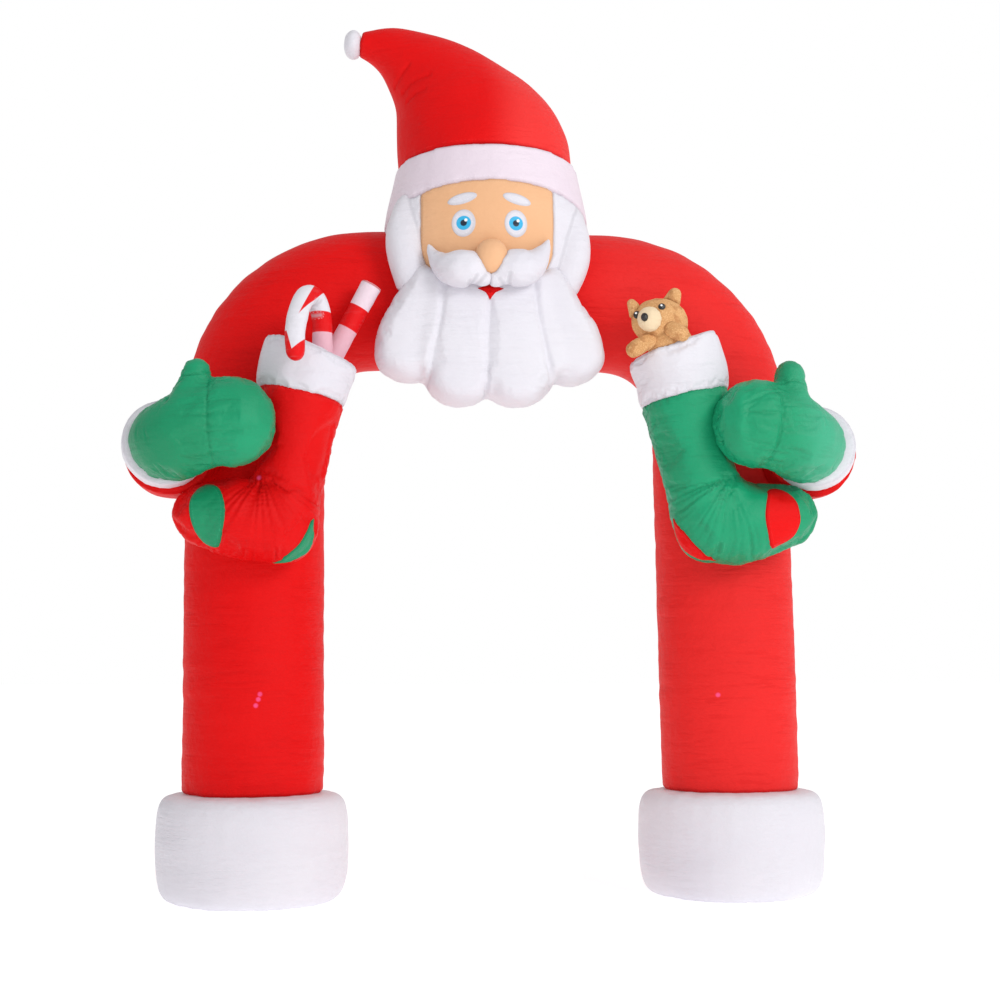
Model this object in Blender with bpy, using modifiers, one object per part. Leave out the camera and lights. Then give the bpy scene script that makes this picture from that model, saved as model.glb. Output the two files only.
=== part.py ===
"""An inflatable arch, 3 m high: a blown fabric tube on two drum feet, with a bearded figure in a tall hat over
its top, two mittened arms, and two stockings that hold candy canes and a toy bear. Every piece is sewn from thin
fabric and has the round form that air gives it. Metres, +Z up, the front faces -Y."""

import math
from collections import namedtuple

import bmesh
import bpy
from mathutils import Matrix, Vector

# One round section of a blown piece: its middle and its radius.
Ring = namedtuple("Ring", "x y z radius")
# One corner of a turned outline: its distance from the axis and its height.
Turn = namedtuple("Turn", "radius height")

# The arch's own plane lies this far from the middle of the whole object.
ARCH_X = 0.033
ARCH_Y = 0.146

SEAM_GAP = 0.0005
PATCH_THICKNESS = 0.002

LEG_RADIUS = 0.2375
TUBE_RADIUS = 0.242
LEFT_TUBE_TOP, RIGHT_TUBE_TOP = 2.057, 2.069
LEFT_BEND_RADIUS, RIGHT_BEND_RADIUS = 0.388, 0.416
LEFT_FOOT_X, LEFT_BEND_X = -0.827, -0.838
RIGHT_BEND_X, RIGHT_FOOT_X = 0.80, 0.826
FOOT_HEIGHT = 0.356

RED = (0.80, 0.012, 0.010)
WHITE = (0.80, 0.78, 0.82)
GREEN = (0.020, 0.33, 0.14)
FLESH = (0.80, 0.46, 0.24)
BROWN = (0.52, 0.24, 0.08)
CREAM = (0.80, 0.66, 0.46)
BLACK = (0.010, 0.009, 0.009)


def clear_scene():
    for thing in list(bpy.data.objects):
        bpy.data.objects.remove(thing, do_unlink=True)


def new_collection(name):
    collection = bpy.data.collections.new(name)
    bpy.context.scene.collection.children.link(collection)
    return collection


def fabric(name, colour, roughness=0.55):
    finish = bpy.data.materials.new(name)
    finish.use_nodes = True
    shader = finish.node_tree.nodes["Principled BSDF"]
    shader.inputs["Base Color"].default_value = (*colour, 1.0)
    shader.inputs["Roughness"].default_value = roughness
    shader.inputs["Metallic"].default_value = 0.0
    return finish


clear_scene()
PARTS = new_collection("inflatable_arch")
TOOLS = new_collection("cutters")
TOOLS.hide_render = True
ARCH = bpy.data.objects.new("arch_plane", None)
ARCH.location = (ARCH_X, ARCH_Y, 0.0)
PARTS.objects.link(ARCH)


def placed(name, mesh, origin):
    """A mesh whose points are measured from its origin, set into the arch's plane."""
    piece = bpy.data.objects.new(name, mesh)
    PARTS.objects.link(piece)
    piece.parent = ARCH
    piece.location = origin
    return piece


def settle(piece):
    """Makes a piece's modifiers part of its mesh, so that its neighbours are cut with the result."""
    bpy.context.view_layer.update()
    graph = bpy.context.evaluated_depsgraph_get()
    shaped = bpy.data.meshes.new_from_object(piece.evaluated_get(graph))
    piece.modifiers.clear()
    piece.data = shaped


def as_tool(piece, grow):
    """A helper with a piece's shape, swollen all round by a seam's gap."""
    tool = bpy.data.objects.new(piece.name + "_tool", piece.data.copy())
    TOOLS.objects.link(tool)
    tool.parent = ARCH
    tool.matrix_local = piece.matrix_local
    tool.hide_render = True
    tool.display_type = "WIRE"
    swell = tool.modifiers.new("swell", "DISPLACE")
    swell.mid_level = 0.0
    swell.strength = grow
    return tool


def combine(piece, tool, operation, solver="EXACT"):
    """Cuts or joins a piece with a helper, which is then done with."""
    step = piece.modifiers.new("sewn", "BOOLEAN")
    step.operation = operation
    step.solver = solver
    step.object = tool
    settle(piece)
    bpy.data.objects.remove(tool, do_unlink=True)


def cut_by(piece, *neighbours):
    """Seats a piece against its neighbours: it is pressed in where they lie, a seam's gap away. The second cut
    takes off what a swollen corner, pushed askew, leaves inside the neighbour; it runs along faces the first one
    made, where the exact solver can lose the piece."""
    for neighbour in neighbours:
        combine(piece, as_tool(neighbour, SEAM_GAP), "DIFFERENCE")
        combine(piece, as_tool(neighbour, 0.0), "DIFFERENCE", "MANIFOLD")
    return piece


def joined(name, pieces):
    """Several lobes sewn to one air chamber: one solid."""
    whole = pieces[0]
    whole.name = name
    for other in pieces[1:]:
        combine(whole, other, "UNION")
    return whole


def flow(rings, steps):
    """A smooth run of rings through the given ones, on a Catmull-Rom curve."""
    given = [Vector(ring) for ring in rings]
    given = [2 * given[0] - given[1], *given, 2 * given[-1] - given[-2]]
    run = []
    for a, b, c, d in zip(given, given[1:], given[2:], given[3:]):
        for step in range(steps):
            t = step / steps
            run.append(Ring(*(
                0.5 * (2 * q + (r - p) * t + (2 * p - 5 * q + 4 * r - s) * t**2 + (3 * q - p - 3 * r + s) * t**3)
                for p, q, r, s in zip(a, b, c, d)
            )))
    run.append(Ring(*given[-2]))
    return run


def domed(run, depth=1.0, steps=3):
    """The run with a round end past its last ring: a blown closed end is a half ball, or a flatter one."""
    last = run[-1]
    middle = Vector(last[:3])
    way = (middle - Vector(run[-2][:3])).normalized()
    turns = [math.pi / 2 * step / steps for step in range(1, steps)] + [math.radians(86)]
    return [*run, *(
        Ring(*(middle + way * depth * last.radius * math.sin(turn)), last.radius * math.cos(turn))
        for turn in turns
    )]


def tube(name, run, sides):
    """A fabric tube through a run of rings, as a mesh with its ends closed."""
    origin = Vector(run[0][:3])
    curve = bpy.data.curves.new(name, "CURVE")
    curve.dimensions = "3D"
    curve.bevel_depth = 1.0
    curve.bevel_resolution = (sides - 4) // 2
    curve.use_fill_caps = True
    spline = curve.splines.new("POLY")
    spline.points.add(len(run) - 1)
    for point, ring in zip(spline.points, run):
        point.co = (*(Vector(ring[:3]) - origin), 1.0)
        point.radius = ring.radius
    guide = placed(name + "_guide", curve, origin)
    bpy.context.view_layer.update()
    graph = bpy.context.evaluated_depsgraph_get()
    mesh = bpy.data.meshes.new_from_object(guide.evaluated_get(graph))
    bpy.data.objects.remove(guide, do_unlink=True)
    welded = bmesh.new()
    welded.from_mesh(mesh)
    bmesh.ops.remove_doubles(welded, verts=welded.verts, dist=0.00002)
    bmesh.ops.recalc_face_normals(welded, faces=welded.faces)
    welded.to_mesh(mesh)
    welded.free()
    mesh.name = name
    return placed(name, mesh, origin)


def blown(name, rings, sides=20, steps=3, round_start=False, round_end=True, end_depth=1.0):
    """A lobe through the given rings, with the ends that are sewn shut made round."""
    run = flow(rings, steps)
    if round_end:
        run = domed(run, end_depth)
    if round_start:
        run = domed(run[::-1])[::-1]
    return tube(name, run, sides)


def turned(name, outline, x, y, sides=28):
    """A round body turned about an upright axis from an outline that runs down its outer side."""
    mesh = bpy.data.meshes.new(name)
    points = [(corner.radius, 0.0, corner.height) for corner in outline]
    mesh.from_pydata(points, [(i, i + 1) for i in range(len(points) - 1)], [])
    piece = placed(name, mesh, (x, y, 0.0))
    screw = piece.modifiers.new("turned", "SCREW")
    screw.steps = screw.render_steps = sides
    screw.use_merge_vertices = True
    screw.merge_threshold = 0.00005
    settle(piece)
    return piece


def ball(name, x, y, z, radii, sides=16):
    """A small stuffed ball with its own width, depth and height."""
    mesh = bpy.data.meshes.new(name)
    shape = bmesh.new()
    bmesh.ops.create_uvsphere(shape, u_segments=sides, v_segments=sides // 2, radius=1.0)
    bmesh.ops.transform(shape, matrix=Matrix.Diagonal((*radii, 1.0)), verts=shape.verts)
    shape.to_mesh(mesh)
    shape.free()
    return placed(name, mesh, (x, y, z))


def sliced(piece, point, normal):
    """Cuts a piece along a plane, keeps the side that the normal points to, and closes the cut."""
    shape = bmesh.new()
    shape.from_mesh(piece.data)
    bmesh.ops.bisect_plane(
        shape, geom=[*shape.verts, *shape.edges, *shape.faces], dist=0.00001,
        plane_co=Vector(point) - piece.location, plane_no=normal, clear_inner=True,
    )
    rim = [edge for edge in shape.edges if edge.is_boundary]
    bmesh.ops.holes_fill(shape, edges=rim)
    bmesh.ops.recalc_face_normals(shape, faces=shape.faces)
    shape.to_mesh(piece.data)
    shape.free()
    return piece


def flattened(piece, share):
    """Draws a piece in from front to back, about its own origin's depth."""
    piece.data.transform(Matrix.Diagonal((1.0, share, 1.0, 1.0)))
    return piece


def prism(name, outline, front, back):
    """An upright outline of (x, z) corners, drawn out from front to back."""
    curve = bpy.data.curves.new(name, "CURVE")
    curve.dimensions = "2D"
    curve.fill_mode = "BOTH"
    curve.extrude = (back - front) / 2
    spline = curve.splines.new("POLY")
    spline.points.add(len(outline) - 1)
    for point, (x, z) in zip(spline.points, outline):
        point.co = (x, z, 0.0, 1.0)
    spline.use_cyclic_u = True
    guide = placed(name + "_guide", curve, (0.0, (front + back) / 2, 0.0))
    guide.rotation_euler = (math.radians(90), 0.0, 0.0)
    bpy.context.view_layer.update()
    graph = bpy.context.evaluated_depsgraph_get()
    mesh = bpy.data.meshes.new_from_object(guide.evaluated_get(graph))
    mesh.transform(guide.matrix_local)
    bpy.data.objects.remove(guide, do_unlink=True)
    shape = bmesh.new()
    shape.from_mesh(mesh)
    bmesh.ops.remove_doubles(shape, verts=shape.verts, dist=0.00002)
    bmesh.ops.recalc_face_normals(shape, faces=shape.faces)
    shape.to_mesh(mesh)
    shape.free()
    return placed(name, mesh, (0.0, 0.0, 0.0))


def oval(x, z, half_width, half_height, turn=0.0, corners=14):
    """The corners of an oval outline, turned anticlockwise as seen from the front."""
    around = [2 * math.pi * corner / corners for corner in range(corners)]
    return [
        (
            x + half_width * math.cos(a) * math.cos(turn) - half_height * math.sin(a) * math.sin(turn),
            z + half_width * math.cos(a) * math.sin(turn) + half_height * math.sin(a) * math.cos(turn),
        )
        for a in around
    ]


def petal(tip, end, left_bulge, right_bulge, corners=5):
    """The corners of a leaf from one tip to the other, with a bulge to each side of the line between them."""
    start, line = Vector(tip), Vector(end) - Vector(tip)
    side = Vector((line.y, -line.x)).normalized()
    shares = [corner / corners for corner in range(corners)]
    out = [start + line * t + side * left_bulge * math.sin(math.pi * t) for t in shares]
    back = [start + line * (1 - t) - side * right_bulge * math.sin(math.pi * t) for t in shares]
    return [tuple(corner) for corner in out + back]


def patch(name, host, outline, front, back):
    """A thin sewn-on patch: the host's own surface inside an outline, raised by the patch's thickness. Both cuts
    run nearly along the host's faces, which the exact solver leaves open."""
    piece = prism(name, outline, front, back)
    combine(piece, as_tool(host, SEAM_GAP + PATCH_THICKNESS), "INTERSECT", "MANIFOLD")
    combine(piece, as_tool(host, SEAM_GAP), "DIFFERENCE", "MANIFOLD")
    return piece


def dressed(finish, *pieces):
    """Gives pieces their fabric and smooth shading."""
    for piece in pieces:
        piece.data.materials.clear()
        piece.data.materials.append(finish)
        piece.data.shade_smooth()
        piece.data.set_sharp_from_angle(angle=math.radians(50))


# Fabrics: one thin coated cloth in several colours, and a brushed one on the bear.
red_cloth = fabric("red_cloth", RED)
white_cloth = fabric("white_cloth", WHITE)
green_cloth = fabric("green_cloth", GREEN)
flesh_cloth = fabric("flesh_cloth", FLESH)
brown_cloth = fabric("brown_cloth", BROWN, roughness=0.8)
cream_cloth = fabric("cream_cloth", CREAM, roughness=0.8)
black_bead = fabric("black_bead", BLACK, roughness=0.2)

# The arch tube: two legs that stand on the feet, two quarter bends and a level top. It is made a little too long
# and trimmed level, because its legs lean.
LEG_SPARE = 0.02

def arch_rings():
    leg_foot = FOOT_HEIGHT - LEG_SPARE
    left_leg_top, right_leg_top = LEFT_TUBE_TOP - LEFT_BEND_RADIUS, RIGHT_TUBE_TOP - RIGHT_BEND_RADIUS
    leg_steps, bend_steps, top_steps = 3, 8, 2
    rings = []
    for step in range(leg_steps):
        share = step / leg_steps
        x = LEFT_FOOT_X + (LEFT_BEND_X - LEFT_FOOT_X) * share
        rings.append(Ring(x, 0.0, leg_foot + (left_leg_top - leg_foot) * share, LEG_RADIUS))
    for step in range(bend_steps + 1):
        turn = math.pi / 2 * step / bend_steps
        x = LEFT_BEND_X + LEFT_BEND_RADIUS * (1 - math.cos(turn))
        radius = LEG_RADIUS + (TUBE_RADIUS - LEG_RADIUS) * step / bend_steps
        rings.append(Ring(x, 0.0, left_leg_top + LEFT_BEND_RADIUS * math.sin(turn), radius))
    top_left, top_right = LEFT_BEND_X + LEFT_BEND_RADIUS, RIGHT_BEND_X - RIGHT_BEND_RADIUS
    for step in range(1, top_steps):
        share = step / top_steps
        z = LEFT_TUBE_TOP + (RIGHT_TUBE_TOP - LEFT_TUBE_TOP) * share
        rings.append(Ring(top_left + (top_right - top_left) * share, 0.0, z, TUBE_RADIUS))
    for step in range(bend_steps + 1):
        turn = math.pi / 2 * step / bend_steps
        x = top_right + RIGHT_BEND_RADIUS * math.sin(turn)
        radius = TUBE_RADIUS + (LEG_RADIUS - TUBE_RADIUS) * step / bend_steps
        rings.append(Ring(x, 0.0, right_leg_top + RIGHT_BEND_RADIUS * math.cos(turn), radius))
    for step in range(1, leg_steps + 1):
        share = step / leg_steps
        x = RIGHT_BEND_X + (RIGHT_FOOT_X - RIGHT_BEND_X) * share
        rings.append(Ring(x, 0.0, right_leg_top + (leg_foot - right_leg_top) * share, LEG_RADIUS))
    return rings


UP, FRONT = Vector((0.0, 0.0, 1.0)), Vector((0.0, -1.0, 0.0))
arch_tube = sliced(tube("arch_tube", arch_rings(), sides=26), UP * (FOOT_HEIGHT + SEAM_GAP), UP)
dressed(red_cloth, arch_tube)

# The feet: low drums with a flat underside, drawn in at both seams.
FOOT_OUTLINE = (
    Turn(0.000, FOOT_HEIGHT), Turn(0.262, FOOT_HEIGHT), Turn(0.292, 0.349), Turn(0.310, 0.330),
    Turn(0.319, 0.285), Turn(0.322, 0.190), Turn(0.319, 0.095), Turn(0.311, 0.045),
    Turn(0.293, 0.013), Turn(0.262, 0.000), Turn(0.000, 0.000),
)
foot_left = turned("foot_left", FOOT_OUTLINE, LEFT_FOOT_X, 0.0)
foot_right = turned("foot_right", FOOT_OUTLINE, RIGHT_FOOT_X, 0.0)
dressed(white_cloth, foot_left, foot_right)

# The head: one turned body, parted into the hat band above and the hair below along a plane that falls to the
# back. The face panel is let into its front, and the hair sits astride the arch tube.
HEAD_X, HEAD_Y = -0.045, -0.09
HEAD_OUTLINE = (
    Turn(0.000, 2.540), Turn(0.309, 2.540), Turn(0.314, 2.500), Turn(0.324, 2.450), Turn(0.336, 2.400),
    Turn(0.347, 2.350), Turn(0.354, 2.300), Turn(0.356, 2.250), Turn(0.352, 2.190), Turn(0.340, 2.130),
    Turn(0.318, 2.075), Turn(0.285, 2.035), Turn(0.235, 2.010), Turn(0.000, 2.005),
)
BAND_FRONT_Z = 2.388
BAND_TILT = math.radians(17)
BAND_FRONT = Vector((HEAD_X, HEAD_Y - 0.34, BAND_FRONT_Z))
BAND_UP = Vector((0.0, math.sin(BAND_TILT), math.cos(BAND_TILT)))
HAT_SEAM = Vector((HEAD_X, HEAD_Y, 2.500))
HAT_TILT = math.radians(3.2)
HAT_UP = Vector((0.0, math.sin(HAT_TILT), math.cos(HAT_TILT)))
TUBE_AXIS = Vector((0.0, 0.0, RIGHT_TUBE_TOP))
FACE_FOOT_Z = 2.060


def head(name):
    return turned(name, HEAD_OUTLINE, HEAD_X, HEAD_Y)


hat_band = sliced(sliced(head("hat_band"), BAND_FRONT + BAND_UP * SEAM_GAP, BAND_UP), HAT_SEAM, -HAT_UP)
cut_by(hat_band, arch_tube)
hair = sliced(sliced(sliced(head("hair"), BAND_FRONT, -BAND_UP), TUBE_AXIS, FRONT), UP * FACE_FOOT_Z, UP)

LOCK_RINGS = {
    "lock_left": (
        Ring(-0.325, -0.250, 2.330, 0.050), Ring(-0.336, -0.270, 2.240, 0.070), Ring(-0.333, -0.290, 2.150, 0.069),
        Ring(-0.312, -0.300, 2.060, 0.058), Ring(-0.300, -0.300, 2.000, 0.044),
    ),
    "lock_right": (
        Ring(0.205, -0.250, 2.330, 0.050), Ring(0.220, -0.270, 2.240, 0.070), Ring(0.218, -0.290, 2.150, 0.071),
        Ring(0.198, -0.300, 2.070, 0.058), Ring(0.184, -0.300, 2.010, 0.044),
    ),
}
locks = [blown(name, rings, sides=12, steps=2, round_start=True) for name, rings in LOCK_RINGS.items()]
hair = joined("hair", [hair, *locks])

FACE_X = -0.070
FACE_OUTLINE = (
    (FACE_X - 0.218, 2.420), (FACE_X - 0.218, 2.150), (FACE_X - 0.193, 2.104), (FACE_X - 0.165, 2.082),
    (FACE_X - 0.140, FACE_FOOT_Z), (FACE_X + 0.140, FACE_FOOT_Z), (FACE_X + 0.165, 2.095), (FACE_X + 0.197, 2.100),
    (FACE_X + 0.218, 2.150), (FACE_X + 0.218, 2.420),
)
FACE_FRONT, FACE_BACK = -0.60, -0.285
face = prism("face", FACE_OUTLINE, FACE_FRONT, FACE_BACK)
combine(face, sliced(head("head_front"), BAND_FRONT, -BAND_UP), "INTERSECT")
dressed(white_cloth, hat_band)
dressed(flesh_cloth, face)

# The hat: a tall cone that bends over to one side, with a pompom on its tip.
HAT_RINGS = (
    Ring(-0.060, -0.09, 2.470, 0.317), Ring(-0.065, -0.09, 2.547, 0.312), Ring(-0.092, -0.09, 2.616, 0.291),
    Ring(-0.150, -0.09, 2.711, 0.247), Ring(-0.217, -0.09, 2.808, 0.186), Ring(-0.298, -0.09, 2.881, 0.131),
    Ring(-0.392, -0.09, 2.938, 0.082), Ring(-0.488, -0.09, 2.954, 0.042),
)
hat = sliced(blown("hat", HAT_RINGS, sides=26, steps=2, round_end=False), HAT_SEAM + HAT_UP * SEAM_GAP, HAT_UP)
pompom = ball("pompom", -0.514, -0.09, 2.951, (0.034, 0.050, 0.054), sides=12)
cut_by(pompom, hat)
dressed(red_cloth, hat)
dressed(white_cloth, pompom)

# The beard: four blown lobes side by side and the chamber behind their seams, hung in front of the arch tube. It
# meets the face panel's foot, and the ends of the hair's locks are tucked in behind it.
BEARD_LOBES = {
    "lobe_outer_left": (
        Ring(-0.256, -0.285, 2.036, 0.092), Ring(-0.292, -0.283, 1.950, 0.101), Ring(-0.322, -0.280, 1.880, 0.110),
        Ring(-0.330, -0.280, 1.806, 0.110),
    ),
    "lobe_outer_right": (
        Ring(0.130, -0.285, 2.040, 0.092), Ring(0.166, -0.283, 1.954, 0.100), Ring(0.207, -0.280, 1.884, 0.110),
        Ring(0.226, -0.280, 1.806, 0.110),
    ),
    "lobe_inner_left": (
        Ring(-0.130, -0.295, 2.052, 0.098), Ring(-0.136, -0.298, 1.966, 0.105), Ring(-0.148, -0.298, 1.856, 0.113),
        Ring(-0.160, -0.295, 1.727, 0.114),
    ),
    "lobe_inner_right": (
        Ring(-0.004, -0.295, 2.052, 0.098), Ring(0.004, -0.298, 1.966, 0.105), Ring(0.022, -0.298, 1.856, 0.115),
        Ring(0.042, -0.295, 1.734, 0.122),
    ),
}
LOBE_END_DEPTH = 0.72
lobes = [
    blown(name, rings, sides=14, steps=2, round_start="outer" in name, end_depth=LOBE_END_DEPTH)
    for name, rings in BEARD_LOBES.items()
]
lobes.append(ball("beard_middle", -0.062, -0.268, 1.870, (0.330, 0.115, 0.190), sides=20))
beard = joined("beard", lobes)
cut_by(beard, arch_tube, face)
cut_by(hair, arch_tube, face, hat_band, beard)
dressed(white_cloth, beard, hair)

# The nose, the two halves of the moustache and the patches of the face.
MOUSTACHE_RINGS = {
    "moustache_left": (
        Ring(-0.092, -0.450, 2.050, 0.032), Ring(-0.124, -0.452, 2.075, 0.056), Ring(-0.168, -0.445, 2.077, 0.062),
        Ring(-0.209, -0.420, 2.086, 0.051), Ring(-0.247, -0.392, 2.124, 0.025), Ring(-0.268, -0.376, 2.172, 0.008),
    ),
    "moustache_right": (
        Ring(-0.050, -0.450, 2.050, 0.032), Ring(-0.018, -0.452, 2.078, 0.056), Ring(0.027, -0.450, 2.084, 0.063),
        Ring(0.070, -0.436, 2.099, 0.053), Ring(0.108, -0.424, 2.144, 0.027), Ring(0.128, -0.412, 2.190, 0.008),
    ),
}
nose = ball("nose", FACE_X + 0.003, -0.462, 2.117, (0.056, 0.050, 0.060), sides=14)
cut_by(nose, face)
moustaches = [blown(name, rings, sides=12, steps=2, round_start=True) for name, rings in MOUSTACHE_RINGS.items()]
for moustache in moustaches:
    cut_by(moustache, face, nose, beard, hair)
cut_by(moustaches[1], moustaches[0])
dressed(flesh_cloth, nose)
dressed(white_cloth, *moustaches)

MOUTH_X, MOUTH_Z = -0.064, 2.022
MOUTH_OUTLINE = (
    (MOUTH_X - 0.042, MOUTH_Z), (MOUTH_X, MOUTH_Z - 0.034), (MOUTH_X + 0.042, MOUTH_Z), (MOUTH_X, MOUTH_Z + 0.016),
)
mouth = patch("mouth", beard, MOUTH_OUTLINE, -0.60, -0.34)
cut_by(mouth, face, hair, *moustaches)
dressed(red_cloth, mouth)

EYE_SPREAD, EYE_Z = 0.086, 2.235
BROW_SPREAD, BROW_Z, BROW_TILT = 0.090, 2.318, math.radians(14)
eyes, brows = [], []
for side, way in (("left", -1), ("right", 1)):
    eye = oval(FACE_X + way * EYE_SPREAD, EYE_Z, 0.038, 0.045)
    brow = oval(FACE_X + way * BROW_SPREAD, BROW_Z, 0.050, 0.013, turn=-way * BROW_TILT)
    eyes.append(patch("eye_" + side, face, eye, -0.60, -0.30))
    brows.append(patch("brow_" + side, face, brow, -0.60, -0.30))
dressed(white_cloth, *eyes, *brows)

# The arms: a forearm sleeve out of each leg's outer side, a wrist cuff and a mitten with its thumb up.
ARMS = {
    "left": {
        "sleeve": (
            Ring(-0.930, 0.020, 1.510, 0.156), Ring(-1.035, -0.090, 1.500, 0.154), Ring(-1.100, -0.205, 1.486, 0.152),
            Ring(-1.102, -0.335, 1.483, 0.148),
        ),
        "cuff": (Ring(-1.114, -0.330, 1.495, 0.142), Ring(-1.107, -0.400, 1.499, 0.138)),
        "mitten": (
            Ring(-1.100, -0.385, 1.497, 0.124), Ring(-1.078, -0.445, 1.502, 0.132), Ring(-1.030, -0.492, 1.517, 0.135),
            Ring(-0.975, -0.505, 1.540, 0.133), Ring(-0.925, -0.510, 1.552, 0.143), Ring(-0.885, -0.510, 1.552, 0.145),
        ),
        "thumb": (
            Ring(-1.021, -0.490, 1.582, 0.077), Ring(-1.022, -0.487, 1.627, 0.066), Ring(-1.011, -0.483, 1.673, 0.057),
            Ring(-1.009, -0.480, 1.708, 0.050),
        ),
    },
    "right": {
        "sleeve": (
            Ring(0.880, 0.020, 1.530, 0.158), Ring(0.980, -0.090, 1.516, 0.157), Ring(1.043, -0.205, 1.508, 0.157),
            Ring(1.038, -0.335, 1.501, 0.150),
        ),
        "cuff": (Ring(1.042, -0.330, 1.512, 0.142), Ring(1.028, -0.400, 1.518, 0.136)),
        "mitten": (
            Ring(1.008, -0.385, 1.514, 0.122), Ring(0.980, -0.445, 1.521, 0.130), Ring(0.925, -0.492, 1.541, 0.135),
            Ring(0.870, -0.505, 1.560, 0.133), Ring(0.825, -0.510, 1.573, 0.143), Ring(0.790, -0.510, 1.574, 0.145),
        ),
        "thumb": (
            Ring(0.917, -0.490, 1.606, 0.084), Ring(0.917, -0.487, 1.657, 0.067), Ring(0.918, -0.483, 1.704, 0.057),
            Ring(0.923, -0.480, 1.738, 0.052),
        ),
    },
}
sleeves, wrist_cuffs = {}, {}
for side, rings in ARMS.items():
    wrist_cuffs[side] = blown("wrist_cuff_" + side, rings["cuff"], sides=22, steps=1, round_end=False)
    sleeves[side] = blown("sleeve_" + side, rings["sleeve"], sides=22, steps=2, round_end=False)
    cut_by(sleeves[side], arch_tube, wrist_cuffs[side])
    dressed(white_cloth, wrist_cuffs[side])
    dressed(red_cloth, sleeves[side])

# The stockings: a leg and a foot sewn to one chamber, hung on the front of the arch's legs, with a white cuff. A
# ball fills the bend between leg and foot, where the cloth spans the corner.
STOCKINGS = {
    "left": {
        "leg": (
            Ring(-0.644, -0.320, 1.808, 0.155), Ring(-0.670, -0.320, 1.734, 0.149), Ring(-0.683, -0.320, 1.659, 0.143),
            Ring(-0.695, -0.320, 1.559, 0.127), Ring(-0.702, -0.320, 1.449, 0.109), Ring(-0.730, -0.320, 1.339, 0.116),
            Ring(-0.744, -0.320, 1.240, 0.127),
        ),
        "foot": (
            Ring(-0.758, -0.320, 1.242, 0.112), Ring(-0.830, -0.323, 1.250, 0.126), Ring(-0.905, -0.325, 1.265, 0.126),
            Ring(-0.985, -0.325, 1.271, 0.104),
        ),
        "bend": (-0.765, -0.320, 1.300, 0.112),
        "cuff_end": (-0.682, -0.320, 1.663), "cuff_up": (0.20, 0.0, 0.98),
        "toe": petal((-0.979, 1.344), (-0.941, 1.162), 0.055, 0.042),
        "heel": petal((-0.634, 1.262), (-0.752, 1.108), 0.004, 0.060),
    },
    "right": {
        "leg": (
            Ring(0.562, -0.320, 1.851, 0.151), Ring(0.589, -0.320, 1.774, 0.150), Ring(0.604, -0.320, 1.684, 0.147),
            Ring(0.619, -0.320, 1.579, 0.134), Ring(0.640, -0.320, 1.464, 0.123), Ring(0.670, -0.320, 1.354, 0.125),
            Ring(0.687, -0.320, 1.254, 0.122),
        ),
        "foot": (
            Ring(0.700, -0.320, 1.250, 0.116), Ring(0.767, -0.323, 1.253, 0.129), Ring(0.847, -0.325, 1.270, 0.128),
            Ring(0.942, -0.325, 1.288, 0.107),
        ),
        "bend": (0.722, -0.320, 1.310, 0.128),
        "cuff_end": (0.604, -0.320, 1.684), "cuff_up": (-0.22, 0.0, 0.975),
        "toe": petal((0.864, 1.363), (0.856, 1.176), 0.026, 0.080),
        "heel": petal((0.554, 1.262), (0.680, 1.130), 0.060, 0.004),
    },
}
STOCKING_CLOTH = {"left": (red_cloth, green_cloth), "right": (green_cloth, red_cloth)}
stockings, stocking_cuffs = {}, {}
for side, form in STOCKINGS.items():
    end, up = Vector(form["cuff_end"]), Vector(form["cuff_up"]).normalized()
    cuff = sliced(blown("stocking_cuff_" + side, form["leg"], sides=22, steps=2), end + up * SEAM_GAP, up)
    leg = sliced(blown("leg", form["leg"], sides=22, steps=2), end, -up)
    x, y, z, radius = form["bend"]
    bend = ball("bend", x, y, z, (radius, 0.95 * radius, radius), sides=18)
    stocking = joined("stocking_" + side, [leg, blown("foot", form["foot"], sides=20, steps=2), bend])
    cut_by(stocking, arch_tube, sleeves[side], wrist_cuffs[side])
    cut_by(cuff, arch_tube)
    body_cloth, patch_cloth = STOCKING_CLOTH[side]
    toe = patch("toe_patch_" + side, stocking, form["toe"], -0.60, -0.36)
    heel = patch("heel_patch_" + side, stocking, form["heel"], -0.60, -0.32)
    dressed(body_cloth, stocking)
    dressed(patch_cloth, toe, heel)
    dressed(white_cloth, cuff)
    stockings[side], stocking_cuffs[side] = stocking, cuff

# The mittens: the hand and its thumb are one chamber, pressed against the stocking beside it.
for side, rings in ARMS.items():
    hand = flattened(blown("hand", rings["mitten"], sides=18, steps=2, end_depth=0.88), 0.85)
    thumb = blown("thumb", rings["thumb"], sides=12, steps=2)
    mitten = joined("mitten_" + side, [hand, thumb])
    cut_by(mitten, wrist_cuffs[side], stockings[side], stocking_cuffs[side], sleeves[side])
    dressed(green_cloth, mitten)

# The toys in the left stocking: a candy cane hooked over its rim, and a straight stick.
HOOK_RINGS = (
    Ring(-0.612, -0.375, 1.760, 0.034), Ring(-0.613, -0.380, 1.860, 0.034), Ring(-0.619, -0.392, 1.930, 0.034),
    Ring(-0.641, -0.428, 1.976, 0.034), Ring(-0.669, -0.477, 1.966, 0.034), Ring(-0.690, -0.520, 1.910, 0.034),
    Ring(-0.702, -0.545, 1.832, 0.034), Ring(-0.699, -0.548, 1.772, 0.032),
)
STICK_RINGS = (Ring(-0.590, -0.300, 1.780, 0.034), Ring(-0.452, -0.310, 2.046, 0.036))
candy_hook = blown("candy_hook", HOOK_RINGS, sides=12, steps=2)
candy_stick = blown("candy_stick", STICK_RINGS, sides=12, steps=1, round_end=False)
cut_by(candy_hook, stocking_cuffs["left"])
cut_by(candy_stick, stocking_cuffs["left"])
dressed(white_cloth, candy_hook, candy_stick)

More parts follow.
